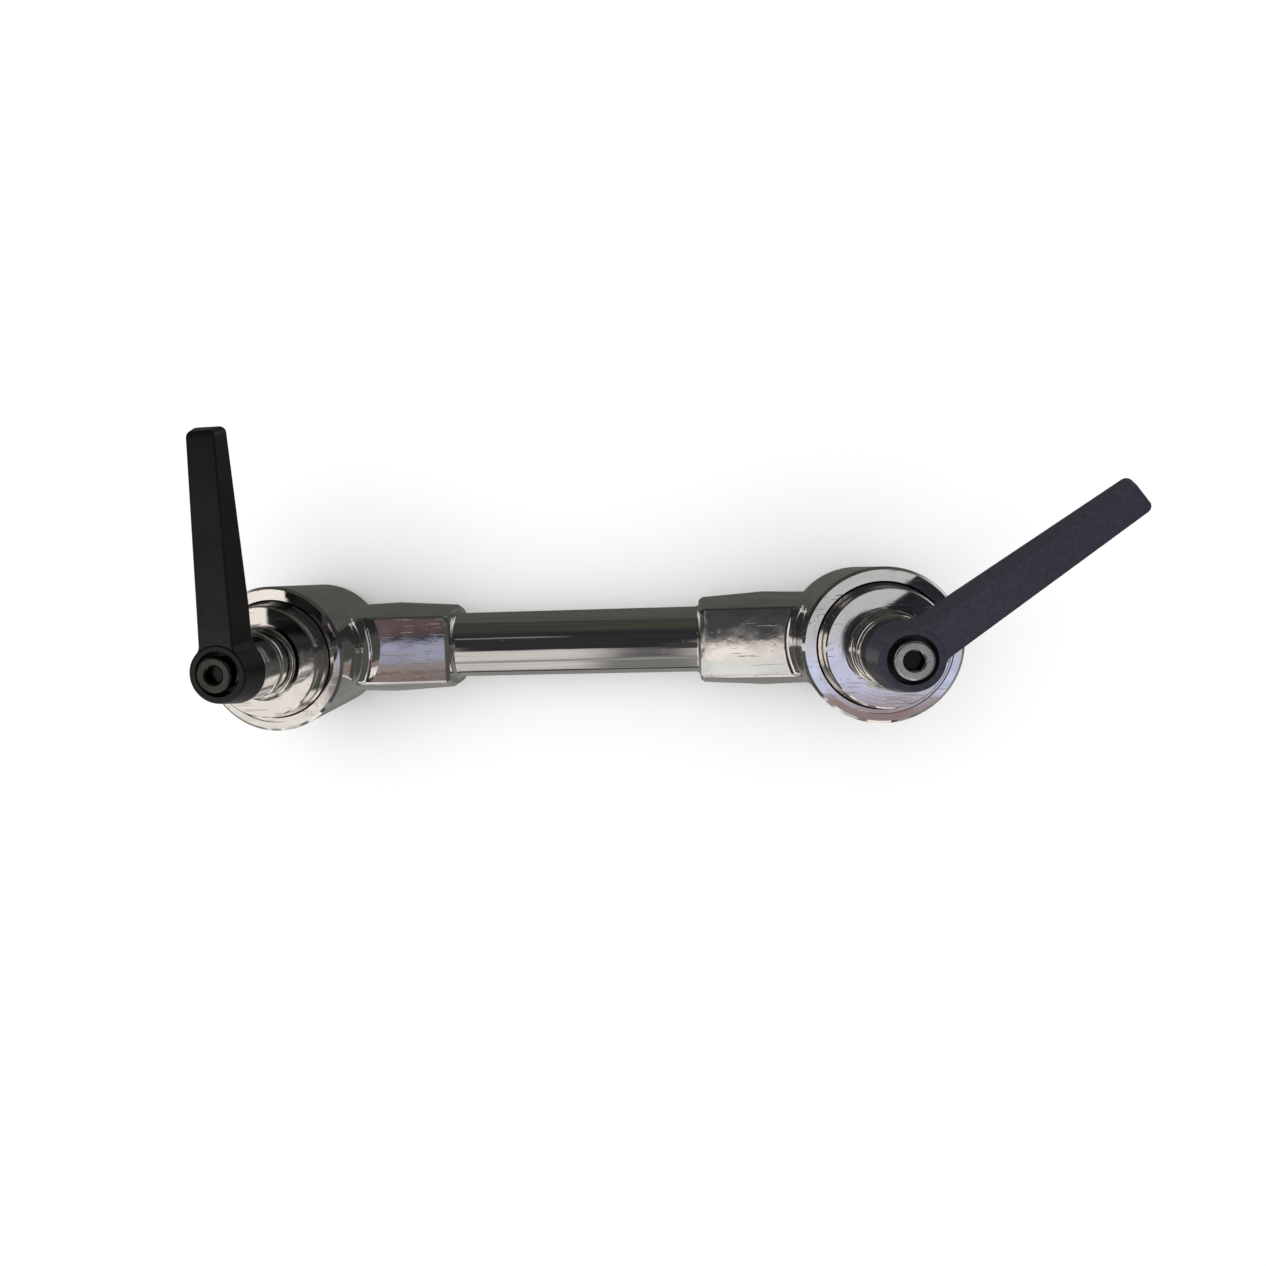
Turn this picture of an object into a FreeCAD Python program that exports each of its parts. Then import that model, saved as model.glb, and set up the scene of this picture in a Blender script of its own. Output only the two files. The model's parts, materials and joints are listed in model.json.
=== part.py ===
import FreeCAD, Part
import math
import os

# Articulated link bar: a chrome tube with a clamping swivel head at each end.
# Each head turns on a rear swivel plate and is locked by an adjustable
# clamping lever.  Millimetres.  +Z runs along the head axes towards the levers,
# +X runs along the tube, and z = 0 is the rear face of both swivel plates.
# The origin is the centre of the left swivel plate's rear face.

V = FreeCAD.Vector
UP = V(0, 0, 1)

# ---- driving dimensions -------------------------------------------------
HEAD_SPACING = 214.0        # between the two head axes
TUBE_R = 12.5               # standard 25 mm tube
TUBE_WALL = 2.0
TUBE_Z = 18.0               # tube axis above the rear mounting face
TUBE_START = 30.0           # tube end, measured from the head axis
LEVER_LENGTH = 76.6         # end of the lever's front face from the head axis
LEVER_ANGLES = {"left": 90.0, "right": 36.0}
SPINDLE_R = 5.0             # M10 spindle
RUNNING_GAP = 0.05          # radial running clearance
SEAT_GAP = 0.1              # axial gap between pieces that move apart

# ---- barrel of the head casting -----------------------------------------
BARREL_REAR_Z = 6.0
BARREL_FRONT_Z = 56.5
BARREL_REAR_R = 25.3
BARREL_FRONT_R = 26.4
LIP_INNER_R = 23.1          # front bore, also the inside edge of the bright lip
SPIGOT_R = 16.0             # rear register of the swivel plate
WEB_LOW_Z = 22.0            # web between the two bores
WEB_TOP_Z = 29.0
WEB_HOLE_R = 14.2
PARTING_DEPTH = 0.4
BARREL_REAR_CHAMFER = 0.8
BARREL_FRONT_CHAMFER = 1.0
JUNCTION_FILLET = 4.0

# ---- tube socket of the head casting ------------------------------------
SOCKET_FACE_Z = 17.5        # flat front face above the tube axis
SOCKET_BACK_Z = 15.0        # rear face below the tube axis
SOCKET_ROOT_X = 16.0        # hidden inside the barrel
SOCKET_WAIST_X = 36.0       # where the socket is widest
SOCKET_FACE_END_X = 58.4
SOCKET_END_X = 59.8
SOCKET_ROOT_HALF = 16.6     # half widths at the tube axis, along the socket
SOCKET_WAIST_HALF = 17.4
SOCKET_END_HALF = 15.6
SOCKET_FACE_HALF = 12.6
SOCKET_LIP_SCALE = 0.93
SOCKET_SIDE_BULGE = 0.9     # the sides bow out a little between face and middle
SOCKET_SIDE_SHARE = 0.62    # height of the fullest point of that bow
SOCKET_CORNER_FILLET = 1.2
TUBE_FILLET = 1.3           # concave fillet from the socket's end to the tube
TUBE_FILLET_EDGE = 0.12
TUBE_PIN_R = 2.0
TUBE_PIN_BORE_R = 1.2
TUBE_PIN_XS = (40.0, 52.0)
TUBE_PIN_SLOT = 0.5

# ---- swivel plate --------------------------------------------------------
PLATE_R = 22.0
PLATE_THICK = 5.6
NOSE_R = 13.9
NOSE_TOP_Z = 28.0
MOUNT_PCD = 27.0
MOUNT_HOLE_R = 2.1          # tapping size of M5
MOUNT_HOLE_DEPTH = 10.0
MOUNT_HOLE_COUNT = 4
NUT_AF = 16.0
NUT_LOW_Z = 4.5
NUT_HEIGHT = 7.8
POCKET_R = 9.9
NUT_CLIP_INNER_R = 7.6
NUT_CLIP_LOW_Z = 3.0
NUT_CLIP_TOP_Z = 3.9
NUT_CLIP_GAP = 3.0
GUIDE_PIN_R = 2.0
GUIDE_PIN_RADIUS = 11.3
GUIDE_PIN_LOW_Z = 16.0
GUIDE_PIN_TOP_Z = 52.0
FRICTION_THICK = 1.6        # front friction ring

# ---- clamp disc, bush and collar ----------------------------------------
LINER_LOW_Z = 36.0
LINER_TOP_Z = 55.9
DISC_GUIDE_R = 21.6
DISC_GUIDE_TOP_Z = 51.0
DISC_NECK_LOW_Z = 51.6
DISC_NECK_R = 21.2
DISC_FACE_R = 19.9
DISC_FACE_Z = 64.7
DISC_PLATE_LOW_Z = 56.0
BOSS_LOW_Z = 43.0
DISC_RECESS_R = 13.8
DISC_RECESS_Z = 58.5
DISC_SKIRT_INNER_R = 17.5
BOSS_R = 14.8
LINER_BORE_R = 6.4          # seat of the bronze liner in the bush
BUSH_FLANGE_R = 12.8
BUSH_FLANGE_TOP_Z = 66.3
BUSH_TOP_Z = 67.2
BUSH_NECK_R = 8.0
COLLAR_R = 11.7
COLLAR_TOP_Z = 73.6
SPRING_R = 8.4              # release spring, a stack of coned discs
SPRING_INNER_R = 5.6
SPRING_DISCS = 10
SPRING_DISC_THICK = 0.7
SPRING_DISC_GAP = 0.02

# ---- lever ---------------------------------------------------------------
SLEEVE_R = 11.0
HUB_LOW_Z = 84.9
HUB_LOW_R = 11.3
HUB_TOP_Z = 96.0
HUB_TOP_R = 9.5
HUB_BORE_R = 7.4
HUB_WEB_LOW_Z = 88.5
HUB_WEB_TOP_Z = 89.6
SERRATION_COUNT = 24
SERRATION_TIP_R = 7.5
SERRATION_ROOT_R = 6.7
SERRATION_GAP = 0.12
ARM_ROOT_HALF = 5.9
ARM_TIP_HALF = 4.7
ARM_ROOT_DRAFT = 1.9        # extra half width along the underside
ARM_TIP_DRAFT = 1.4
ARM_TIP_LOW_Z = 89.0
ARM_TOP_Z = 95.7
ARM_LEVEL_END = 22.0        # the underside is level up to here, then it climbs
ARM_TIP_LEAN = 0.33         # how far the end face leans out per millimetre of depth
ARM_TIP_ROUND = 2.0
ARM_TIP_STEPS = (0, 25, 50, 72)
ARM_CORNER_RADII = (0.7, 0.7, 1.1, 1.1)
NECK_FILLET = 5.0
NECK_END_X = 12.0
NECK_RIM_FILLET = 0.85
SCREW_SHANK_R = 2.5
SCREW_NECK_R = 3.0
SCREW_HEAD_R = 5.8
SCREW_HEAD_LOW_Z = 94.6
SCREW_TOP_Z = 98.3
SCREW_SOCKET_AF = 5.5
SCREW_SOCKET_DEPTH = 3.0
SPINDLE_LOW_Z = 0.6
SPINDLE_TOP_Z = 81.4
SPINDLE_CHAMFER = 0.7
INSERT_TOP_Z = HUB_WEB_LOW_Z - 0.4
CLIP_GROOVE_R = 4.2         # retaining groove at the rear end of the spindle
CLIP_LOW_Z = 1.7
CLIP_TOP_Z = 2.6
CLIP_OUTER_R = 7.1
CLIP_GAP = 4.0
LEVER_SPRING_R = 5.2        # coned discs under the screw head
LEVER_SPRING_INNER_R = 3.5
LEVER_SPRING_DISCS = 4
LEVER_SPRING_DISC_THICK = 0.3


# ---- shape helpers -------------------------------------------------------
def cylinder(radius, low, top, x=0.0, y=0.0):
    """Upright solid cylinder between two heights."""
    return Part.makeCylinder(radius, top - low, V(x, y, low))


def ring(outer, inner, low, top):
    """Flat ring between two heights."""
    return cylinder(outer, low, top).cut(cylinder(inner, low - 1, top + 1))


def revolved(profile):
    """Solid turned about Z from a closed list of (radius, height) points."""
    points = [V(r, 0, z) for r, z in profile]
    face = Part.Face(Part.makePolygon(points + points[:1]))
    return face.revolve(V(0, 0, 0), UP, 360)


def polygon_prism(points, low, top):
    """Upright prism over a closed outline of (x, y) points."""
    corners = [V(x, y, low) for x, y in points]
    return Part.Face(Part.makePolygon(corners + corners[:1])).extrude(V(0, 0, top - low))


def hexagon_prism(across_flats, low, top):
    corner = across_flats / math.sqrt(3)
    outline = [polar(corner, 60 * i) for i in range(6)]
    return polygon_prism(outline, low, top)


def polar(radius, degrees):
    a = math.radians(degrees)
    return radius * math.cos(a), radius * math.sin(a)


def serrated_prism(root, tip, low, top):
    """Prism with pointed teeth all round, for the lever's index serration."""
    step = 180.0 / SERRATION_COUNT
    outline = [polar(tip if i % 2 else root, i * step) for i in range(2 * SERRATION_COUNT)]
    return polygon_prism(outline, low, top)


def round_rims(shape, rims):
    """Fillet the circular edges that match each (radius, height, fillet)."""
    for radius, height, fillet in rims:
        edges = [e for e in shape.Edges if is_rim(e, radius, height)]
        shape = shape.makeFillet(fillet, edges)
    return shape


def chamfer_rims(shape, rims):
    """Chamfer the circular edges that match each (radius, height, size)."""
    for radius, height, size in rims:
        edges = [e for e in shape.Edges if is_rim(e, radius, height)]
        shape = shape.makeChamfer(size, edges)
    return shape


def is_rim(edge, radius, height):
    curve = edge.Curve
    if not isinstance(curve, Part.Circle):
        return False
    on_axis = math.hypot(curve.Center.x, curve.Center.y) < 1e-3
    return on_axis and abs(curve.Radius - radius) < 1e-3 and abs(curve.Center.z - height) < 1e-3


def disc_spring(outer, inner, thick, low, top, count):
    """Stack of coned disc springs, alternately turned over, between two heights."""
    pitch = (top - low) / count
    discs = []
    for i in range(count):
        base = low + i * pitch + SPRING_DISC_GAP / 2
        rise = pitch - SPRING_DISC_GAP - thick
        at_inner, at_outer = (rise, 0.0) if i % 2 else (0.0, rise)
        discs.append(revolved([
            (inner, base + at_inner),
            (outer, base + at_outer),
            (outer, base + at_outer + thick),
            (inner, base + at_inner + thick),
        ]))
    return Part.makeCompound(discs)


def split_ring(outer, inner, low, top, gap):
    """Flat retaining ring with a gap on the +X side."""
    slot = Part.makeBox(outer + 2, gap, top - low + 2, V(0, -gap / 2, low - 1))
    return ring(outer, inner, low, top).cut(slot)


# ---- head casting --------------------------------------------------------
def socket_section(x, half_width, scale=1.0):
    """Rounded four-sided section across the tube axis at a distance x."""
    face = SOCKET_FACE_Z * scale
    back = -SOCKET_BACK_Z * scale
    flat = SOCKET_FACE_HALF * scale
    half = half_width * scale

    def at(y, z):
        return V(x, y, TUBE_Z + z)

    bow = 0.5 * (flat + half) + SOCKET_SIDE_BULGE
    front_bow = SOCKET_SIDE_SHARE * face
    back_bow = SOCKET_SIDE_SHARE * back
    edges = [
        Part.makeLine(at(-flat, face), at(flat, face)),
        Part.Arc(at(flat, face), at(bow, front_bow), at(half, 0)).toShape(),
        Part.Arc(at(half, 0), at(bow, back_bow), at(flat, back)).toShape(),
        Part.makeLine(at(flat, back), at(-flat, back)),
        Part.Arc(at(-flat, back), at(-bow, back_bow), at(-half, 0)).toShape(),
        Part.Arc(at(-half, 0), at(-bow, front_bow), at(-flat, face)).toShape(),
    ]
    return Part.Wire(edges)


def tube_socket():
    """Four-sided socket, widest a little way out from the barrel."""
    root = socket_section(SOCKET_ROOT_X, SOCKET_ROOT_HALF)
    waist = socket_section(SOCKET_WAIST_X, SOCKET_WAIST_HALF)
    end = socket_section(SOCKET_FACE_END_X, SOCKET_END_HALF)
    lip = socket_section(SOCKET_END_X, SOCKET_END_HALF, SOCKET_LIP_SCALE)
    body = Part.makeLoft([root, waist, end], True, True)
    bevel = Part.makeLoft([end, lip], True, True)
    body = body.fuse(bevel).removeSplitter()
    corners = [e for e in body.Edges if runs_along_tube(e)]
    return body.makeFillet(SOCKET_CORNER_FILLET, corners)


def tube_fillet():
    """Concave ring that leads from the socket's end face down to the tube."""
    edge_r = TUBE_R + TUBE_FILLET_EDGE
    high_r = edge_r + TUBE_FILLET
    hidden_r = TUBE_R - 1.0
    end_x = SOCKET_END_X + TUBE_FILLET
    bow = TUBE_FILLET * (1 - math.sqrt(0.5))

    def at(x, r):
        return V(x, 0, r)

    arc = Part.Arc(at(SOCKET_END_X, high_r), at(SOCKET_END_X + bow, edge_r + bow),
                   at(end_x, edge_r))
    outline = [
        arc.toShape(),
        Part.makeLine(at(end_x, edge_r), at(end_x, hidden_r)),
        Part.makeLine(at(end_x, hidden_r), at(SOCKET_END_X - 1.0, hidden_r)),
        Part.makeLine(at(SOCKET_END_X - 1.0, hidden_r), at(SOCKET_END_X - 1.0, high_r)),
        Part.makeLine(at(SOCKET_END_X - 1.0, high_r), at(SOCKET_END_X, high_r)),
    ]
    section = Part.Face(Part.Wire(outline))
    body = section.revolve(V(0, 0, 0), V(1, 0, 0), 360)
    body.translate(V(0, 0, TUBE_Z))
    return body


def runs_along_tube(edge):
    """True for the socket's lengthwise corner edges, above and below its middle."""
    return edge.BoundBox.XLength > 2.0 and abs(edge.CenterOfMass.z - TUBE_Z) > 2.0


def barrel_blank():
    blank = revolved([
        (0, BARREL_REAR_Z),
        (BARREL_REAR_R - BARREL_REAR_CHAMFER, BARREL_REAR_Z),
        (BARREL_REAR_R, BARREL_REAR_Z + BARREL_REAR_CHAMFER),
        (BARREL_FRONT_R, BARREL_FRONT_Z - BARREL_FRONT_CHAMFER),
        (BARREL_FRONT_R - BARREL_FRONT_CHAMFER, BARREL_FRONT_Z),
        (0, BARREL_FRONT_Z),
    ])
    blank.rotate(V(0, 0, 0), UP, 180)
    return blank


def parting_groove():
    """Fine groove of the mould's parting line, round the free side of the barrel."""
    slope = (BARREL_FRONT_R - BARREL_REAR_R) / (BARREL_FRONT_Z - BARREL_REAR_Z)
    seam_r = BARREL_REAR_R + slope * (TUBE_Z - BARREL_REAR_Z)
    groove = revolved([
        (seam_r - PARTING_DEPTH, TUBE_Z),
        (seam_r + 2 * PARTING_DEPTH, TUBE_Z - 2 * PARTING_DEPTH),
        (seam_r + 2 * PARTING_DEPTH, TUBE_Z + 2 * PARTING_DEPTH),
    ])
    socket_side = Part.makeBox(40, 80, 4, V(SOCKET_ROOT_X - 1.0, -40, TUBE_Z - 2))
    return groove.cut(socket_side)


def meets_barrel(edge):
    """True for the edges where the tube socket runs into the barrel."""
    box = edge.BoundBox
    beside = box.XMin > SOCKET_ROOT_X + 1 and box.XMax < BARREL_FRONT_R + 1
    return beside and box.ZMin > BARREL_REAR_Z + 0.7 and box.ZMax < TUBE_Z + SOCKET_FACE_Z + 0.5


def head_casting():
    body = barrel_blank().fuse(tube_socket()).removeSplitter()
    body = body.makeFillet(JUNCTION_FILLET, [e for e in body.Edges if meets_barrel(e)])
    body = body.fuse(tube_fillet())
    body = body.cut(parting_groove())
    body = body.cut(cylinder(PLATE_R + 0.4, -1, BARREL_REAR_Z + 0.6))
    body = body.cut(cylinder(SPIGOT_R + RUNNING_GAP, BARREL_REAR_Z - 5, WEB_LOW_Z))
    body = body.cut(cylinder(WEB_HOLE_R, WEB_LOW_Z - 5, WEB_TOP_Z + 5))
    body = body.cut(cylinder(LIP_INNER_R, WEB_TOP_Z, BARREL_FRONT_Z + 5))
    bore = Part.makeCylinder(TUBE_R, SOCKET_END_X - TUBE_START + 5,
                             V(TUBE_START, 0, TUBE_Z), V(1, 0, 0))
    body = body.cut(bore)
    for pin in tube_pin_places():
        body = body.cut(cylinder(TUBE_PIN_R, -1, TUBE_Z - TUBE_R + 1, *pin))
    return body


def tube_pin_places():
    return [(x, 0.0) for x in TUBE_PIN_XS]


def tube_pins():
    """Slotted spring pins that lock the tube in its socket from behind."""
    low = TUBE_Z - SOCKET_BACK_Z + 0.2
    top = TUBE_Z - TUBE_R + TUBE_WALL + 0.6
    pins = []
    for x, y in tube_pin_places():
        pin = cylinder(TUBE_PIN_R, low, top, x, y)
        pin = pin.cut(cylinder(TUBE_PIN_BORE_R, low - 1, top + 1, x, y))
        pins.append(pin.cut(slot_box(x, y, low, top)))
    return Part.makeCompound(pins)


def slot_box(x, y, low, top):
    """Cutter for the lengthwise slot of a spring pin."""
    corner = V(x, y - TUBE_PIN_SLOT / 2, low - 1)
    return Part.makeBox(TUBE_PIN_R + 1, TUBE_PIN_SLOT, top - low + 2, corner)


def link_tube():
    length = HEAD_SPACING - 2 * TUBE_START
    start = V(TUBE_START, 0, TUBE_Z)
    along = V(1, 0, 0)
    tube = Part.makeCylinder(TUBE_R, length, start, along)
    tube = tube.cut(Part.makeCylinder(TUBE_R - TUBE_WALL, length, start, along))
    for x, y in tube_pin_places():
        for place in (x, HEAD_SPACING - x):
            tube = tube.cut(cylinder(TUBE_PIN_R, -1, TUBE_Z, place, y))
    return tube


# ---- swivel plate and the pieces in it ----------------------------------
def swivel_plate():
    body = revolved([
        (0, 0),
        (PLATE_R - 0.8, 0),
        (PLATE_R, 0.8),
        (PLATE_R, PLATE_THICK - 0.5),
        (PLATE_R - 0.5, PLATE_THICK),
        (SPIGOT_R, PLATE_THICK),
        (SPIGOT_R, WEB_LOW_Z - 0.8),
        (SPIGOT_R - 0.4, WEB_LOW_Z - 0.4),
        (NOSE_R, WEB_LOW_Z - 0.4),
        (NOSE_R, NOSE_TOP_Z - 0.5),
        (NOSE_R - 0.5, NOSE_TOP_Z),
        (0, NOSE_TOP_Z),
    ])
    body = body.cut(cylinder(POCKET_R, -1, NUT_LOW_Z - 0.1))
    body = body.cut(cylinder(POCKET_R + 0.7, NUT_CLIP_LOW_Z - 0.1, NUT_CLIP_TOP_Z + 0.1))
    body = body.cut(hexagon_prism(NUT_AF + 0.2, NUT_LOW_Z - 0.2, NUT_LOW_Z + NUT_HEIGHT + 0.1))
    body = body.cut(cylinder(SPINDLE_R + 0.4, 0, NOSE_TOP_Z + 1))
    for i in range(MOUNT_HOLE_COUNT):
        x, y = polar(MOUNT_PCD / 2, 45 + 360 / MOUNT_HOLE_COUNT * i)
        body = body.cut(cylinder(MOUNT_HOLE_R, -1, MOUNT_HOLE_DEPTH, x, y))
    for x, y in guide_pin_places():
        body = body.cut(cylinder(GUIDE_PIN_R, GUIDE_PIN_LOW_Z, NOSE_TOP_Z + 1, x, y))
    return body


def guide_pin_places():
    return [(0.0, GUIDE_PIN_RADIUS), (0.0, -GUIDE_PIN_RADIUS)]


def guide_pins():
    pins = []
    for x, y in guide_pin_places():
        pin = cylinder(GUIDE_PIN_R, GUIDE_PIN_LOW_Z, GUIDE_PIN_TOP_Z, x, y)
        pins.append(pin.makeChamfer(0.4, pin.Edges))
    return Part.makeCompound(pins)


def captive_nut():
    low = NUT_LOW_Z
    top = low + NUT_HEIGHT
    nut = hexagon_prism(NUT_AF, low, top)
    corner = NUT_AF / math.sqrt(3)
    crown = revolved([
        (0, low), (NUT_AF / 2, low), (corner + 0.1, low + 0.8),
        (corner + 0.1, top - 0.8), (NUT_AF / 2, top), (0, top),
    ])
    return nut.common(crown).cut(cylinder(SPINDLE_R + RUNNING_GAP, low - 1, top + 1))


def nut_clip():
    outer = POCKET_R + 0.6
    return split_ring(outer, NUT_CLIP_INNER_R, NUT_CLIP_LOW_Z, NUT_CLIP_TOP_Z, NUT_CLIP_GAP)


def rear_friction_ring():
    return ring(PLATE_R - 0.5, SPIGOT_R + 0.4, PLATE_THICK + SEAT_GAP, BARREL_REAR_Z + 0.6)


def front_friction_ring():
    return ring(LIP_INNER_R - 0.5, WEB_HOLE_R + 0.8, WEB_TOP_Z, WEB_TOP_Z + FRICTION_THICK)


def release_spring():
    return disc_spring(SPRING_R, SPRING_INNER_R, SPRING_DISC_THICK, NOSE_TOP_Z + 0.05,
                       BOSS_LOW_Z - 0.05, SPRING_DISCS)


# ---- clamp disc, bush and collar ----------------------------------------
def front_liner():
    return ring(LIP_INNER_R, DISC_GUIDE_R + RUNNING_GAP, LINER_LOW_Z, LINER_TOP_Z)


def clamp_disc():
    low = WEB_TOP_Z + FRICTION_THICK + SEAT_GAP
    body = revolved([
        (DISC_SKIRT_INNER_R, low),
        (DISC_GUIDE_R - 0.4, low),
        (DISC_GUIDE_R, low + 0.4),
        (DISC_GUIDE_R, DISC_GUIDE_TOP_Z),
        (DISC_NECK_R, DISC_NECK_LOW_Z),
        (DISC_NECK_R, BARREL_FRONT_Z),
        (DISC_FACE_R, DISC_FACE_Z - 0.5),
        (DISC_FACE_R - 0.5, DISC_FACE_Z),
        (DISC_RECESS_R, DISC_FACE_Z),
        (DISC_RECESS_R, DISC_RECESS_Z),
        (BUSH_NECK_R, DISC_RECESS_Z),
        (BUSH_NECK_R, BOSS_LOW_Z),
        (BOSS_R, BOSS_LOW_Z),
        (BOSS_R, DISC_PLATE_LOW_Z),
        (DISC_SKIRT_INNER_R, DISC_PLATE_LOW_Z),
    ])
    for x, y in guide_pin_places():
        body = body.cut(cylinder(GUIDE_PIN_R + 0.06, BOSS_LOW_Z - 1, GUIDE_PIN_TOP_Z + 1.5, x, y))
    return body


def flange_bush():
    body = revolved([
        (LINER_BORE_R, BOSS_LOW_Z + 1),
        (BUSH_NECK_R, BOSS_LOW_Z + 1),
        (BUSH_NECK_R, DISC_RECESS_Z),
        (BUSH_FLANGE_R, DISC_RECESS_Z),
        (BUSH_FLANGE_R, BUSH_FLANGE_TOP_Z),
        (COLLAR_R - 0.5, BUSH_FLANGE_TOP_Z),
        (COLLAR_R - 0.5, BUSH_TOP_Z),
        (LINER_BORE_R, BUSH_TOP_Z),
    ])
    return round_rims(body, [(BUSH_FLANGE_R, BUSH_FLANGE_TOP_Z, 1.1)])


def bush_liner():
    return ring(LINER_BORE_R, SPINDLE_R + RUNNING_GAP, BOSS_LOW_Z + 1, BUSH_TOP_Z)


def thrust_collar():
    body = ring(COLLAR_R, SPINDLE_R + 0.4, BUSH_TOP_Z, COLLAR_TOP_Z)
    return round_rims(body, [(COLLAR_R, BUSH_TOP_Z, 0.5), (COLLAR_R, COLLAR_TOP_Z, 1.2)])


# ---- spindle and lever ---------------------------------------------------
def spindle():
    body = cylinder(SPINDLE_R, SPINDLE_LOW_Z, SPINDLE_TOP_Z)
    ends = [(SPINDLE_R, z, SPINDLE_CHAMFER) for z in (SPINDLE_LOW_Z, SPINDLE_TOP_Z)]
    groove = ring(SPINDLE_R + 1, CLIP_GROOVE_R, CLIP_LOW_Z, CLIP_TOP_Z)
    return chamfer_rims(body, ends).cut(groove)


def spindle_clip():
    return split_ring(CLIP_OUTER_R, CLIP_GROOVE_R, CLIP_LOW_Z, CLIP_TOP_Z, CLIP_GAP)


def lever_insert():
    low = COLLAR_TOP_Z + SEAT_GAP
    sleeve_top = HUB_LOW_Z - SEAT_GAP
    sleeve = cylinder(SLEEVE_R, low, sleeve_top)
    sleeve = round_rims(sleeve, [(SLEEVE_R, low, 0.5), (SLEEVE_R, sleeve_top, 0.3)])
    teeth = serrated_prism(SERRATION_ROOT_R, SERRATION_TIP_R, sleeve_top, INSERT_TOP_Z)
    body = sleeve.fuse(teeth)
    body = body.cut(cylinder(SPINDLE_R, low - 1, SPINDLE_TOP_Z + 0.1))
    return body.cut(cylinder(SCREW_SHANK_R, SPINDLE_TOP_Z + 1.1, INSERT_TOP_Z + 1))


def arm_section(distance, half_top, half_low, low, top=ARM_TOP_Z, lean=0.0):
    """Four-sided section of the lever arm with rounded corners.

    A leaning section stands further out along its underside."""
    corners = [V(distance + lean * (ARM_TOP_Z - z), y, z) for y, z in (
        (-half_top, top), (half_top, top), (half_low, low), (-half_low, low))]
    edges = []
    ends = []
    for i, corner in enumerate(corners):
        before = corners[i - 1]
        after = corners[(i + 1) % 4]
        to_before = (before - corner).normalize()
        to_after = (after - corner).normalize()
        half_turn = to_before.getAngle(to_after) / 2
        reach = ARM_CORNER_RADII[i] / math.tan(half_turn)
        middle = (to_before + to_after).normalize()
        depth = ARM_CORNER_RADII[i] * (1 / math.sin(half_turn) - 1)
        first = corner + to_before * reach
        last = corner + to_after * reach
        ends.append((first, last))
        edges.append(Part.Arc(first, corner + middle * depth, last).toShape())
    outline = []
    for i in range(4):
        outline.append(edges[i])
        outline.append(Part.makeLine(ends[i][1], ends[(i + 1) % 4][0]))
    return Part.Wire(outline)


def lever_arm():
    """Bar that tapers in width and in depth, square to the head axis."""
    half_here = arm_half(ARM_LEVEL_END)
    share = ARM_LEVEL_END / LEVER_LENGTH
    draft_here = ARM_ROOT_DRAFT + (ARM_TIP_DRAFT - ARM_ROOT_DRAFT) * share
    sections = [
        arm_section(2.0, ARM_ROOT_HALF, ARM_ROOT_HALF + ARM_ROOT_DRAFT, HUB_LOW_Z),
        arm_section(ARM_LEVEL_END, half_here, half_here + draft_here, HUB_LOW_Z),
    ]
    for degrees in ARM_TIP_STEPS:
        angle = math.radians(degrees)
        distance = LEVER_LENGTH - ARM_TIP_ROUND * (1 - math.sin(angle))
        inset = ARM_TIP_ROUND * (1 - math.cos(angle))
        half = ARM_TIP_HALF - inset
        sections.append(arm_section(distance, half, half + ARM_TIP_DRAFT,
                                    ARM_TIP_LOW_Z + 0.5 * inset, ARM_TOP_Z - 0.4 * inset,
                                    ARM_TIP_LEAN))
    return Part.makeLoft(sections, True, True)


def lever_hub():
    hub = revolved([(0, HUB_LOW_Z), (HUB_LOW_R, HUB_LOW_Z), (HUB_TOP_R, HUB_TOP_Z), (0, HUB_TOP_Z)])
    return round_rims(hub, [(HUB_TOP_R, HUB_TOP_Z, 0.9), (HUB_LOW_R, HUB_LOW_Z, 0.4)])


def arm_half(distance):
    """Half width of the lever's front face at a distance from the axis."""
    return ARM_ROOT_HALF + (ARM_TIP_HALF - ARM_ROOT_HALF) * distance / LEVER_LENGTH


def neck_section(height, hub_r, half):
    """Outline that joins the hub circle to the arm's sides with tangent arcs."""
    centre_y = half + NECK_FILLET
    centre_x = math.sqrt((hub_r + NECK_FILLET) ** 2 - centre_y ** 2)
    share = hub_r / (hub_r + NECK_FILLET)
    half_turn = math.atan2(centre_x, centre_y) / 2
    middle_x = centre_x - NECK_FILLET * math.sin(half_turn)
    middle_y = centre_y - NECK_FILLET * math.cos(half_turn)

    def flank(sign):
        return (V(centre_x * share, sign * centre_y * share, height),
                V(middle_x, sign * middle_y, height),
                V(centre_x, sign * half, height))

    hub_left, middle_left, arm_left = flank(1)
    hub_right, middle_right, arm_right = flank(-1)
    return Part.Wire([
        Part.Arc(hub_left, middle_left, arm_left).toShape(),
        Part.makeLine(arm_left, arm_right),
        Part.Arc(arm_right, middle_right, hub_right).toShape(),
        Part.makeLine(hub_right, hub_left),
    ])


def lever_neck():
    """Concave fillets between the hub and the arm, drafted like the arm."""
    half = arm_half(NECK_END_X)
    low = neck_section(HUB_LOW_Z, HUB_LOW_R, half + ARM_ROOT_DRAFT)
    top = neck_section(ARM_TOP_Z, HUB_TOP_R, half)
    neck = Part.makeLoft([low, top], True, True)
    rims = [e for e in neck.Edges if e.BoundBox.ZMin > ARM_TOP_Z - 0.01
            and abs(e.CenterOfMass.y) > 1.0]
    return neck.makeFillet(NECK_RIM_FILLET, rims)


def lever_handle():
    body = lever_hub().fuse([lever_arm(), lever_neck()])
    tooth_root = SERRATION_ROOT_R + SERRATION_GAP
    tooth_tip = SERRATION_TIP_R + SERRATION_GAP
    body = body.cut(serrated_prism(tooth_root, tooth_tip, HUB_LOW_Z - 1, HUB_WEB_LOW_Z))
    body = body.cut(cylinder(SCREW_NECK_R + 0.3, HUB_LOW_Z, HUB_TOP_Z))
    return body.cut(cylinder(HUB_BORE_R, HUB_WEB_TOP_Z, HUB_TOP_Z + 1))


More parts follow.
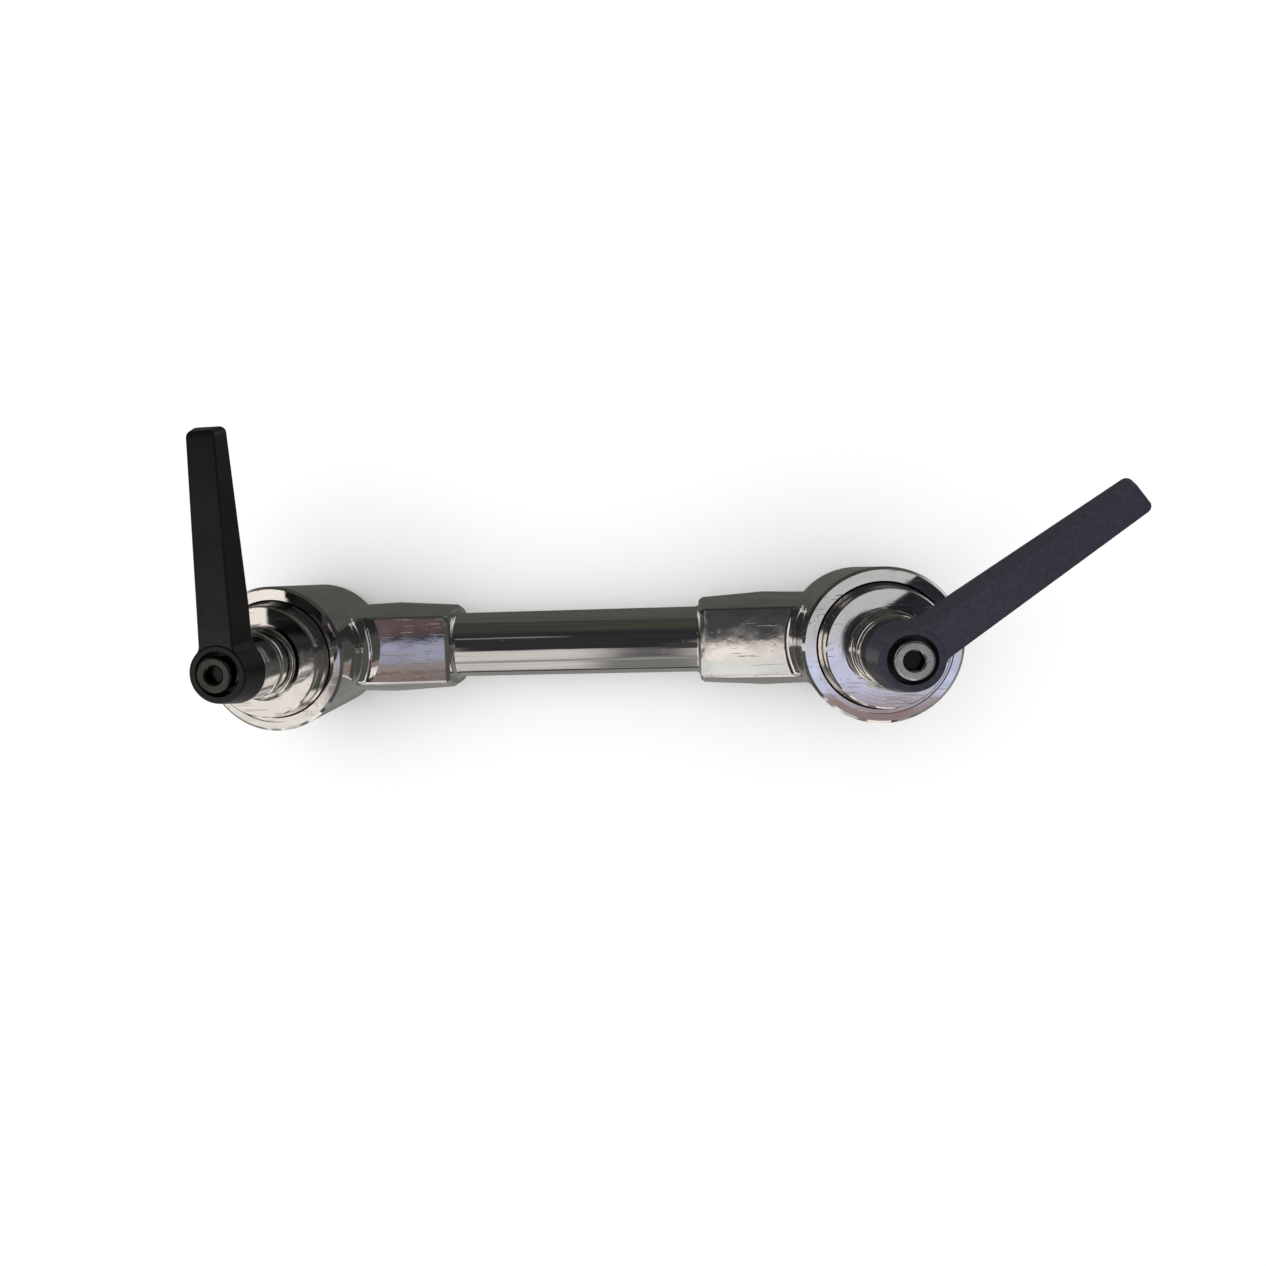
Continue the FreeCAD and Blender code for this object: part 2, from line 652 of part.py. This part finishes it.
def lever_screw():
    body = revolved([
        (0, SPINDLE_TOP_Z + 1.3),
        (SCREW_SHANK_R, SPINDLE_TOP_Z + 1.3),
        (SCREW_SHANK_R, INSERT_TOP_Z),
        (SCREW_NECK_R, INSERT_TOP_Z),
        (SCREW_NECK_R, SCREW_HEAD_LOW_Z),
        (SCREW_HEAD_R, SCREW_HEAD_LOW_Z),
        (SCREW_HEAD_R, SCREW_TOP_Z),
        (0, SCREW_TOP_Z),
    ])
    body = round_rims(body, [(SCREW_HEAD_R, SCREW_TOP_Z, 0.6)])
    socket_low = SCREW_TOP_Z - SCREW_SOCKET_DEPTH
    body = body.cut(hexagon_prism(SCREW_SOCKET_AF, socket_low, SCREW_TOP_Z + 1))
    cone = Part.makeCone(SCREW_SOCKET_AF / 2, SCREW_SOCKET_AF / 2 + 0.8, 0.8,
                         V(0, 0, SCREW_TOP_Z - 0.7))
    return body.cut(cone)


def lever_spring():
    return disc_spring(LEVER_SPRING_R, LEVER_SPRING_INNER_R, LEVER_SPRING_DISC_THICK,
                       HUB_WEB_TOP_Z + 0.03, SCREW_HEAD_LOW_Z - 0.03, LEVER_SPRING_DISCS)


# ---- assembly ------------------------------------------------------------
HEAD_PIECES = {
    "head_casting": head_casting,
    "tube_pins": tube_pins,
    "front_liner": front_liner,
    "rear_friction_ring": rear_friction_ring,
    "front_friction_ring": front_friction_ring,
    "swivel_plate": swivel_plate,
    "guide_pins": guide_pins,
    "captive_nut": captive_nut,
    "nut_clip": nut_clip,
    "release_spring": release_spring,
    "clamp_disc": clamp_disc,
    "flange_bush": flange_bush,
    "bush_liner": bush_liner,
    "thrust_collar": thrust_collar,
    "spindle": spindle,
    "spindle_clip": spindle_clip,
    "lever_insert": lever_insert,
    "lever_screw": lever_screw,
    "lever_spring": lever_spring,
    "lever_handle": lever_handle,
}
TURNS_WITH_LEVER = ("lever_insert", "lever_handle", "spindle_clip")


def place(shape, side, name):
    """Move a head piece from the left head's frame to its own head."""
    if name in TURNS_WITH_LEVER:
        shape.rotate(V(0, 0, 0), UP, LEVER_ANGLES[side])
    elif side == "right":
        shape.rotate(V(0, 0, 0), UP, 180)
    if side == "right":
        shape.translate(V(HEAD_SPACING, 0, 0))
    return shape


def main():
    os.makedirs("parts", exist_ok=True)
    link_tube().exportStep("parts/link_tube.step")
    for name, make in HEAD_PIECES.items():
        for side in ("left", "right"):
            piece = place(make(), side, name)
            piece.exportStep("parts/%s_%s.step" % (side, name))


main()
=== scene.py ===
import json
import math

import bpy
from mathutils import Euler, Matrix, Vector


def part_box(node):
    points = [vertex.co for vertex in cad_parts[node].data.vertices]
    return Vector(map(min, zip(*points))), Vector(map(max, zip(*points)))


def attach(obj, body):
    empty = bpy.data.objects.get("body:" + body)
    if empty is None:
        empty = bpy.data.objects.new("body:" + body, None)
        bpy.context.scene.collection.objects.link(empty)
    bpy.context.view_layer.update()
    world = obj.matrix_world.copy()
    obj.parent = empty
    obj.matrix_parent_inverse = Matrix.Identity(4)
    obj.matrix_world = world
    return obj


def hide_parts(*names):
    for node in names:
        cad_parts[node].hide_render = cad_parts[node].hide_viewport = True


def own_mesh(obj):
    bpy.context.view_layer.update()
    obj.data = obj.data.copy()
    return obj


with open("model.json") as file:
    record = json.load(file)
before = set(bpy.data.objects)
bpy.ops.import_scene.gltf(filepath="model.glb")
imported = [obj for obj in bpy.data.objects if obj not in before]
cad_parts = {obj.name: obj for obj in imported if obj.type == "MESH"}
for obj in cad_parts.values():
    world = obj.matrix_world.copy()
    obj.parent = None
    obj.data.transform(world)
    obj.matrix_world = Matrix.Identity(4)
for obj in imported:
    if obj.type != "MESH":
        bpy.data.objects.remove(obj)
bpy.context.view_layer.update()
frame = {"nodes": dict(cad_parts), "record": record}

# ---- where things are, read from the frame ------------------------------
SIDES = ("left", "right")
MOUNTS = {m["name"]: Vector(m["pos_m"]) for m in frame["record"]["mounts"]}
HEAD = {side: MOUNTS[side + "_bolts"] for side in SIDES}

# ---- camera --------------------------------------------------------------
CAMERA_FROM_LEFT_HEAD = Vector((0.1480, 0.0344, 0.3652))
CAMERA_TURN = (-5.81, 6.75, -2.07)      # degrees about X, Y and Z
SENSOR = 36.0
LENS = 25.6
SHIFT = (0.0464, 0.0063)

# ---- studio --------------------------------------------------------------
ROOM_LIGHT = (1.04, 0.985, 0.935)       # bright ceiling
ROOM_BELOW = (0.100, 0.100, 0.090)      # dim room below the object
ROOM_BELOW_FRONT = (0.26, 0.26, 0.25)
ROOM_DARK = (0.032, 0.032, 0.036)
ROOM_SIDE_GLOW = (0.72, 0.71, 0.69)     # pale walls low down, to both sides behind the object
SIDE_GLOW_SPANS = ((0.45, 2.0), (0.15, 2.0), (-0.62, -0.10))    # of |x|, y and z
FLOOR_SEAM = (-0.46, -0.34)             # dark line where the front wall meets the floor
FRONT_WALL_DROP = 0.30                  # how far the bright front wall reaches below the horizon
# Panels of the room seen in mirror-like metal. Each one covers a span of the
# direction's x and y parts above the horizon, with a soft edge. Later rows lie
# over earlier ones.
ROOM_PANELS = [
    # x span, y span, edge, colour
    ((-2.0, -0.57), (-2.0, 2.0), 0.05, (0.085, 0.085, 0.078)),
    ((-2.0, -0.57), (-0.16, -0.05), 0.02, (0.80, 0.79, 0.77)),
    ((0.29, 2.0), (-2.0, 2.0), 0.006, (0.090, 0.090, 0.083)),
    ((-0.32, -0.09), (-2.0, -0.30), 0.04, (0.68, 0.66, 0.63)),
    ((-0.093, 0.022), (-2.0, -0.05), 0.043, (0.12, 0.115, 0.12)),
    ((-0.093, 0.022), (-2.0, -0.81), 0.03, (0.20, 0.195, 0.19)),
    ((-0.36, 0.02), (-0.34, 2.0), 0.02, ROOM_DARK),
    # bands seen in the left socket's face
    ((-0.38, -0.255), (-0.0825, -0.04), 0.003, (0.135, 0.090, 0.088)),
    ((-0.38, -0.255), (-0.1125, -0.0895), 0.004, (0.40, 0.41, 0.54)),
    ((-0.38, -0.255), (-0.20, -0.1125), 0.002, (0.36, 0.30, 0.285)),
    ((-0.38, -0.255), (-0.1255, -0.1215), 0.001, (0.15, 0.10, 0.10)),
    ((-0.38, -0.255), (-0.1335, -0.1305), 0.001, (0.15, 0.10, 0.10)),
    ((-0.30, -0.25), (-0.35, -0.20), 0.02, (0.30, 0.26, 0.24)),
    # bands seen in the right socket's face
    ((0.022, 0.127), (-0.150, -0.1035), 0.002, (0.98, 0.90, 0.84)),
    ((0.022, 0.127), (-0.150, -0.1205), 0.002, (0.80, 0.80, 0.78)),
    ((0.022, 0.127), (-0.1035, 2.0), 0.002, (0.055, 0.055, 0.060)),
    ((-0.02, 0.127), (-0.42, -0.150), 0.006, (0.055, 0.055, 0.055)),
    # grey, lilac and rosy parts seen in the right head's faces
    ((0.127, 0.287), (-0.30, 0.05), 0.006, (0.56, 0.56, 0.57)),
    ((0.127, 0.287), (-0.160, -0.11), 0.02, (0.72, 0.76, 1.08)),
    ((0.10, 0.287), (-0.30, -0.163), 0.005, (0.36, 0.27, 0.27)),
    ((-2.0, 2.0), (0.07, 2.0), 0.03, ROOM_DARK),
    ((-2.0, 2.0), (0.69, 2.0), 0.03, (0.058, 0.058, 0.050)),
    ((-0.40, -0.14), (0.38, 0.44), 0.015, (0.30, 0.29, 0.28)),
    ((-2.0, 2.0), (-0.91, -0.845), 0.012, (0.33, 0.33, 0.32)),
]
AMBIENT = (1.0, 1.0, 1.0)               # even light on matt surfaces
BACKDROP = (0.97, 0.97, 0.97)
FLOOR_COLOUR = (0.95, 0.95, 0.95)
FLOOR_SIZE = 60.0
KEY_OFFSET = Vector((-0.3, 0.3, 1.4))   # from the middle of the object
KEY_SIZE = 1.4
KEY_POWER = 5.0

# ---- finishes ------------------------------------------------------------
CHROME = (0.80, 0.79, 0.77)
TURNED_CHROME = (0.84, 0.82, 0.79)
POLISHED_STEEL = (0.80, 0.79, 0.78)
PLATE_STEEL = (0.60, 0.60, 0.60)
SPRING_STEEL = (0.35, 0.35, 0.36)
ZINC_PLATE = (0.62, 0.62, 0.60)
BRONZE = (0.70, 0.48, 0.24)
FIBRE_TONES = ((0.05, 0.045, 0.04), (0.16, 0.12, 0.08))
DUST = (0.20, 0.20, 0.20)
# colour of the painted shade down in the screw's socket
SOCKET_SHADE = (0.03, 0.03, 0.03)
SOCKET_SHADE_DEPTH = 0.0004                    # painted shade in the screw's socket starts this far below the screw's face, and is full as much again deeper
SOCKET_SHADE_EDGE = (0.0040, 0.0036)           # radii in the screw socket's mouth: no painted shade at the first, full painted shade at the second
# The left screw head is dulled and oily, the right one is bright.
SCREW_COLOUR = {"left": (0.085, 0.085, 0.075), "right": (0.70, 0.70, 0.68)}
# The left lever's tones are the coat's own near-black. The right lever's are lighter and bluer as
# a painted reflection of a bluish part of the room.
COAT_TONES_AND_SHEEN = {
    "left": ((0.0030, 0.0030, 0.0036), (0.0055, 0.0055, 0.0065)),
    "right": ((0.022, 0.023, 0.034), (0.031, 0.033, 0.048)),
}


# ---- node helpers --------------------------------------------------------
class Shader:
    """Small wrapper that adds nodes to one material or world and links them."""

    def __init__(self, owner):
        owner.use_nodes = True
        self.tree = owner.node_tree
        self.tree.nodes.clear()

    def add(self, kind, inputs=None, **settings):
        node = self.tree.nodes.new(kind)
        for name, value in settings.items():
            setattr(node, name, value)
        for name, value in (inputs or {}).items():
            self.feed(node, name, value)
        return node

    def feed(self, node, name, value):
        socket = node.inputs[name]
        if isinstance(value, bpy.types.NodeSocket):
            self.tree.links.new(value, socket)
        else:
            socket.default_value = value

    def math(self, operation, a, b=0.0, clamp=False):
        node = self.add("ShaderNodeMath", {0: a, 1: b}, operation=operation, use_clamp=clamp)
        return node.outputs[0]

    def smooth(self, value, low, high, to_low=0.0, to_high=1.0):
        node = self.add("ShaderNodeMapRange", {"Value": value, "From Min": low, "From Max": high,
                                               "To Min": to_low, "To Max": to_high},
                        interpolation_type="SMOOTHSTEP")
        return node.outputs["Result"]

    def mix(self, factor, a, b):
        node = self.add("ShaderNodeMix", data_type="RGBA")
        self.feed(node, 0, factor)
        self.feed(node, 6, rgba(a))
        self.feed(node, 7, rgba(b))
        return node.outputs[2]

    def scaled(self, colour, factor):
        """Colour multiplied by a number."""
        node = self.add("ShaderNodeVectorMath", {0: colour}, operation="SCALE")
        self.feed(node, "Scale", factor)
        return node.outputs[0]

    def place(self, scale=(1, 1, 1), turn=(0, 0, 0), shift=(0, 0, 0)):
        """Object coordinates in metres, moved, turned and scaled."""
        coords = self.add("ShaderNodeTexCoord").outputs["Object"]
        node = self.add("ShaderNodeMapping", {"Vector": coords, "Location": shift,
                                              "Rotation": turn, "Scale": scale})
        return node.outputs["Vector"]

    def noise(self, vector, scale, detail=2.0, rough=0.5):
        node = self.add("ShaderNodeTexNoise", {"Vector": vector, "Scale": scale,
                                               "Detail": detail, "Roughness": rough})
        return node.outputs["Fac"]

    def bump(self, height, distance, strength=1.0, normal=None):
        inputs = {"Height": height, "Distance": distance, "Strength": strength}
        if normal is not None:
            inputs["Normal"] = normal
        return self.add("ShaderNodeBump", inputs).outputs["Normal"]


def rgba(value):
    if isinstance(value, tuple) and len(value) == 3:
        return (*value, 1.0)
    return value


def new_shader(name):
    material = bpy.data.materials.new(name)
    return material, Shader(material)


def finish_surface(shader, **inputs):
    """Adds the principled shader and the output. Underscores stand for spaces in names."""
    names = {key.replace("_", " "): rgba(value) for key, value in inputs.items()}
    surface = shader.add("ShaderNodeBsdfPrincipled", names)
    shader.add("ShaderNodeOutputMaterial", {"Surface": surface.outputs[0]})


# ---- surface details -----------------------------------------------------
def scratches(shader, directions, fineness, share):
    """Mask of thin straight scratches that run in a few directions."""
    total = 0.0
    for i, turn in enumerate(directions):
        lines = shader.noise(shader.place((0.03, 1, 0.5), (0.0, 0.25 * i, turn), (i * 0.7, 0, 0)),
                             fineness, 1.0)
        patches = shader.noise(shader.place((1, 1, 1), shift=(0.3 * i, 0.1, 0)), 90.0, 1.0)
        line = shader.smooth(lines, 1 - share, 1 - share + 0.02)
        patch = shader.smooth(patches, 0.5, 0.62)
        total = shader.math("ADD", total, shader.math("MULTIPLY", line, patch), clamp=True)
    return total


def pits(shader, scale, size):
    """Mask of tiny round pits and dust specks."""
    cells = shader.add("ShaderNodeTexVoronoi", {"Vector": shader.place(), "Scale": scale,
                                                "Randomness": 1.0})
    near = shader.smooth(cells.outputs["Distance"], size, size * 0.4)
    some = shader.smooth(shader.noise(shader.place(shift=(0.5, 0.2, 0.1)), 140.0, 2.0), 0.56, 0.66)
    return shader.math("MULTIPLY", near, some)


# ---- materials -----------------------------------------------------------
def cast_chrome():
    """Bright chrome over a polished casting: slightly wavy, pitted and scratched."""
    material, s = new_shader("cast_chrome")
    waves = s.noise(s.place((0.5, 1, 1)), 60.0, 2.0)
    peel = s.noise(s.place(), 420.0, 2.0)
    scratch = scratches(s, (0.2, 1.3, -0.7), 1500.0, 0.29)
    pit = pits(s, 700.0, 0.22)
    haze = s.noise(s.place(), 130.0, 4.0)
    normal = s.bump(waves, 0.00003)
    normal = s.bump(peel, 0.000004, normal=normal)
    normal = s.bump(s.math("ADD", scratch, pit), -0.00002, 0.6, normal=normal)
    marks = s.math("MAXIMUM", s.math("MULTIPLY", scratch, 0.35), s.math("MULTIPLY", pit, 0.6))
    rough = s.math("ADD", s.smooth(haze, 0.35, 0.75, 0.03, 0.08), s.math("MULTIPLY", marks, 0.5))
    colour = s.mix(pit, CHROME, (0.45, 0.44, 0.42))
    finish_surface(s, Base_Color=colour, Metallic=1.0, Roughness=rough, Normal=normal)
    return material


def tube_chrome():
    """Chrome on drawn tube: fine lengthwise draw lines under a mirror finish."""
    material, s = new_shader("tube_chrome")
    lines = s.noise(s.place((0.02, 1, 1)), 900.0, 3.0)
    waves = s.noise(s.place((0.35, 1, 1)), 120.0, 2.0)
    scratch = scratches(s, (1.2, -1.0), 1300.0, 0.27)
    pit = pits(s, 620.0, 0.2)
    normal = s.bump(waves, 0.00006)
    normal = s.bump(lines, 0.000008, normal=normal)
    normal = s.bump(s.math("ADD", scratch, pit), -0.00002, 0.5, normal=normal)
    marks = s.math("MAXIMUM", s.math("MULTIPLY", scratch, 0.3), s.math("MULTIPLY", pit, 0.5))
    rough = s.math("ADD", s.smooth(lines, 0.3, 0.7, 0.04, 0.10), s.math("MULTIPLY", marks, 0.5))
    colour = s.mix(pit, CHROME, (0.5, 0.49, 0.47))
    finish_surface(s, Base_Color=colour, Metallic=1.0, Roughness=rough, Normal=normal)
    return material


def turned_metal(name, colour, axis_place, polish, ring_depth, wear, shade_below=None):
    """Metal turned about one head's axis: fine concentric rings and handling marks.

    Near the axis it can be darkened below a given height, as painted shade in the screw's
    socket. Polish is the lowest roughness, and wear adds to the share of the surface that is
    scratched."""
    material, s = new_shader(name)
    centred = s.place(shift=(-axis_place.x, -axis_place.y, 0))
    parts = s.add("ShaderNodeSeparateXYZ", {0: centred})
    flat = s.add("ShaderNodeCombineXYZ", {"X": parts.outputs["X"], "Y": parts.outputs["Y"]})
    length = s.add("ShaderNodeVectorMath", {0: flat.outputs[0]}, operation="LENGTH")
    radius = length.outputs["Value"]
    profile = s.add("ShaderNodeCombineXYZ", {"X": radius, "Z": parts.outputs["Z"]}).outputs[0]
    rings = s.noise(profile, 2600.0, 3.0)
    haze = s.noise(s.place(), 160.0, 4.0)
    scratch = scratches(s, (0.4, 1.5, -0.9, 2.4), 1400.0, 0.27 + wear)
    pit = pits(s, 900.0, 0.2)
    normal = s.bump(rings, ring_depth)
    normal = s.bump(s.math("ADD", scratch, pit), -0.00002, 0.6, normal=normal)
    marks = s.math("MAXIMUM", s.math("MULTIPLY", scratch, 0.4), s.math("MULTIPLY", pit, 0.6))
    rough = s.math("ADD", s.smooth(haze, 0.3, 0.75, polish, polish + 0.07),
                   s.math("MULTIPLY", marks, 0.4))
    if shade_below is not None:
        # painted shade: darker deeper in the screw's socket, inside its mouth
        deep = s.smooth(parts.outputs["Z"], shade_below, shade_below - SOCKET_SHADE_DEPTH)
        socket_shade = s.math("MULTIPLY", deep, s.smooth(radius, *SOCKET_SHADE_EDGE))
        colour = s.mix(socket_shade, colour, SOCKET_SHADE)
    finish_surface(s, Base_Color=colour, Metallic=1.0, Roughness=rough, Normal=normal)
    return material


def black_coat(side):
    """Fine-textured matt black powder coat, a little polished where hands rub it."""
    material, s = new_shader("black_coat_" + side)
    grain = s.noise(s.place(), 2600.0, 2.0)
    skin = s.noise(s.place(), 700.0, 3.0)
    rub = s.noise(s.place(), 45.0, 3.0)
    dust = pits(s, 1100.0, 0.16)
    normal = s.bump(grain, 0.000035, 0.7)
    normal = s.bump(skin, 0.00005, 0.5, normal=normal)
    rough = s.smooth(rub, 0.3, 0.75, 0.26, 0.38)
    # for the right lever these tones hold a painted bluish reflection over the coat
    dark, light = COAT_TONES_AND_SHEEN[side]
    tone = s.mix(s.smooth(skin, 0.3, 0.8), dark, light)
    colour = s.mix(s.math("MULTIPLY", dust, 0.35), tone, DUST)
    finish_surface(s, Base_Color=colour, Metallic=0.0, Roughness=rough, Normal=normal,
                   Specular_IOR_Level=0.42)
    return material


def plain_metal(name, colour, rough_low, rough_high, grain_depth):
    """Unpolished metal with fine grain and stains."""
    material, s = new_shader(name)
    grain = s.noise(s.place(), 1800.0, 3.0)
    stain = s.noise(s.place(), 120.0, 4.0)
    darker = tuple(0.6 * c for c in colour)
    tone = s.mix(s.smooth(stain, 0.35, 0.75), colour, darker)
    rough = s.smooth(stain, 0.3, 0.7, rough_low, rough_high)
    normal = s.bump(grain, grain_depth)
    finish_surface(s, Base_Color=tone, Metallic=1.0, Roughness=rough, Normal=normal)
    return material


def fibre():
    """Dark moulded friction fibre with lighter flecks."""
    material, s = new_shader("friction_fibre")
    fleck = s.noise(s.place(), 1500.0, 4.0)
    tone = s.mix(s.smooth(fleck, 0.4, 0.7), *FIBRE_TONES)
    finish_surface(s, Base_Color=tone, Roughness=0.85, Normal=s.bump(fleck, 0.00008))
    return material


def paint(node_name, material):
    """Gives a CAD node its finished material."""
    piece = frame["nodes"][node_name]
    piece.data.materials.clear()
    piece.data.materials.append(material)


def dress_nodes():
    casting = cast_chrome()
    spring = plain_metal("spring_steel", SPRING_STEEL, 0.25, 0.40, 0.00001)
    zinc = plain_metal("zinc_steel", ZINC_PLATE, 0.22, 0.38, 0.00002)
    bronze = plain_metal("bearing_bronze", BRONZE, 0.25, 0.40, 0.00001)
    rings = fibre()
    paint("link_tube", tube_chrome())
    for side in SIDES:
        axis = HEAD[side]
        screw_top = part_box(side + "_lever_screw")[1].z
        chrome = turned_metal("turned_chrome_" + side, TURNED_CHROME, axis,
                              polish=0.06, ring_depth=0.000006, wear=0.045)
        sleeve = turned_metal("polished_steel_" + side, POLISHED_STEEL, axis,
                              polish=0.07, ring_depth=0.000010, wear=0.0)
        # the screw's socket is darkened below its face as painted shade
        screw = turned_metal("screw_steel_" + side, SCREW_COLOUR[side], axis,
                             polish=0.24, ring_depth=0.00003, wear=0.01,
                             shade_below=screw_top - SOCKET_SHADE_DEPTH)
        plate = turned_metal("plate_steel_" + side, PLATE_STEEL, axis,
                             polish=0.24, ring_depth=0.00004, wear=0.02)
        finishes = {
            "head_casting": casting, "tube_pins": spring, "front_liner": chrome,
            "rear_friction_ring": rings, "front_friction_ring": rings, "swivel_plate": plate,
            "guide_pins": spring, "captive_nut": zinc, "nut_clip": spring,
            "release_spring": spring, "clamp_disc": chrome, "flange_bush": chrome,
            "bush_liner": bronze, "thrust_collar": chrome, "spindle": zinc,
            "spindle_clip": spring, "lever_insert": sleeve, "lever_screw": screw,
            "lever_spring": spring, "lever_handle": black_coat(side),
        }
        for piece, material in finishes.items():
            paint("%s_%s" % (side, piece), material)


def flatten_lever_spring(side):
    """The coned discs, which go flat against the screw head when the lever is lifted, are copied
    unchanged into a piece carried by the spindle, and the CAD node is hidden.
    """
    node = side + "_lever_spring"
    piece = bpy.data.objects.new(side + "_lever_spring_discs", frame["nodes"][node].data.copy())
    bpy.context.scene.collection.objects.link(piece)
    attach(piece, side + "_spindle")
    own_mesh(piece)
    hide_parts(node)


# ---- studio --------------------------------------------------------------
def span_mask(shader, value, span, edge):
    """1 between the two ends of a span, with soft edges."""
    low, high = span
    inside_low = shader.smooth(value, low - edge, low + edge)
    inside_high = shader.smooth(value, high + edge, high - edge)
    return shader.math("MULTIPLY", inside_low, inside_high)


def make_world():
    """Soft room seen only in reflections, even light for matt surfaces, plain backdrop."""
    world = bpy.data.worlds.new("room")
    bpy.context.scene.world = world
    s = Shader(world)
    way = s.add("ShaderNodeTexCoord").outputs["Generated"]
    parts = s.add("ShaderNodeSeparateXYZ", {0: way})
    x, y, z = parts.outputs["X"], parts.outputs["Y"], parts.outputs["Z"]
    far_front = s.smooth(y, -0.60, -0.85)
    drop = s.math("MULTIPLY", far_front, FRONT_WALL_DROP)
    above = s.smooth(s.math("ADD", z, drop), -0.05, 0.10)
    low = s.mix(s.smooth(y, 0.20, -0.60), ROOM_BELOW, ROOM_BELOW_FRONT)
    seam = s.math("MULTIPLY", far_front, span_mask(s, z, FLOOR_SEAM, 0.02))
    low = s.mix(seam, low, ROOM_DARK)
    x_span, y_span, z_span = SIDE_GLOW_SPANS
    aside = span_mask(s, s.math("ABSOLUTE", x), x_span, 0.04)
    behind = span_mask(s, y, y_span, 0.05)
    low_down = span_mask(s, z, z_span, 0.05)
    glow = s.math("MULTIPLY", s.math("MULTIPLY", aside, behind), low_down)
    low = s.mix(glow, low, ROOM_SIDE_GLOW)
    high = ROOM_LIGHT
    for x_span, y_span, edge, panel in ROOM_PANELS:
        mask = s.math("MULTIPLY", span_mask(s, x, x_span, edge), span_mask(s, y, y_span, edge))
        high = s.mix(mask, high, panel)
    room = s.mix(above, low, high)
    uneven = s.smooth(s.noise(way, 5.0, 3.0), 0.25, 0.75, 0.86, 1.10)
    stretched = s.add("ShaderNodeMapping", {"Vector": way, "Scale": (1.0, 40.0, 1.0)})
    streaks = s.smooth(s.noise(stretched.outputs["Vector"], 3.0, 2.0), 0.3, 0.7, 0.88, 1.08)
    room = s.scaled(room, s.math("MULTIPLY", uneven, streaks))
    rays = s.add("ShaderNodeLightPath")
    colour = s.mix(rays.outputs["Is Diffuse Ray"], room, AMBIENT)
    colour = s.mix(rays.outputs["Is Camera Ray"], colour, BACKDROP)
    background = s.add("ShaderNodeBackground", {"Color": colour, "Strength": 1.0})
    s.add("ShaderNodeOutputWorld", {"Surface": background.outputs[0]})


def make_floor():
    bpy.ops.mesh.primitive_plane_add(size=FLOOR_SIZE)
    floor = bpy.context.object
    floor.name = "floor"
    material, s = new_shader("floor_paper")
    grain = s.noise(s.place(), 300.0, 3.0)
    paper = s.add("ShaderNodeBsdfPrincipled", {"Base Color": rgba(FLOOR_COLOUR), "Roughness": 0.9,
                                               "Normal": s.bump(grain, 0.00005)})
    clear = s.add("ShaderNodeBsdfTransparent")
    behind = s.add("ShaderNodeNewGeometry").outputs["Backfacing"]
    both = s.add("ShaderNodeMixShader", {0: behind, 1: paper.outputs[0], 2: clear.outputs[0]})
    s.add("ShaderNodeOutputMaterial", {"Surface": both.outputs[0]})
    floor.data.materials.append(material)
    floor.visible_glossy = False


def make_light(name, place, size, power, aim):
    data = bpy.data.lights.new(name, "AREA")
    data.shape = "DISK"
    data.size = size
    data.energy = power
    lamp = bpy.data.objects.new(name, data)
    lamp.location = place
    lamp.rotation_euler = (aim - place).to_track_quat("-Z", "Y").to_euler()
    lamp.visible_glossy = False
    bpy.context.scene.collection.objects.link(lamp)


def make_lights():
    middle = (HEAD["left"] + HEAD["right"]) / 2
    make_light("soft_key", middle + KEY_OFFSET, KEY_SIZE, KEY_POWER, middle)


def make_camera():
    data = bpy.data.cameras.new("camera")
    data.sensor_width = SENSOR
    data.lens = LENS
    data.shift_x, data.shift_y = SHIFT
    camera = bpy.data.objects.new("camera", data)
    camera.location = HEAD["left"] + CAMERA_FROM_LEFT_HEAD
    camera.rotation_euler = Euler([math.radians(a) for a in CAMERA_TURN])
    bpy.context.scene.collection.objects.link(camera)
    bpy.context.scene.camera = camera


make_camera()
make_world()
make_floor()
make_lights()
dress_nodes()
for side in SIDES:
    flatten_lever_spring(side)
bpy.context.scene.view_settings.view_transform = "Standard"
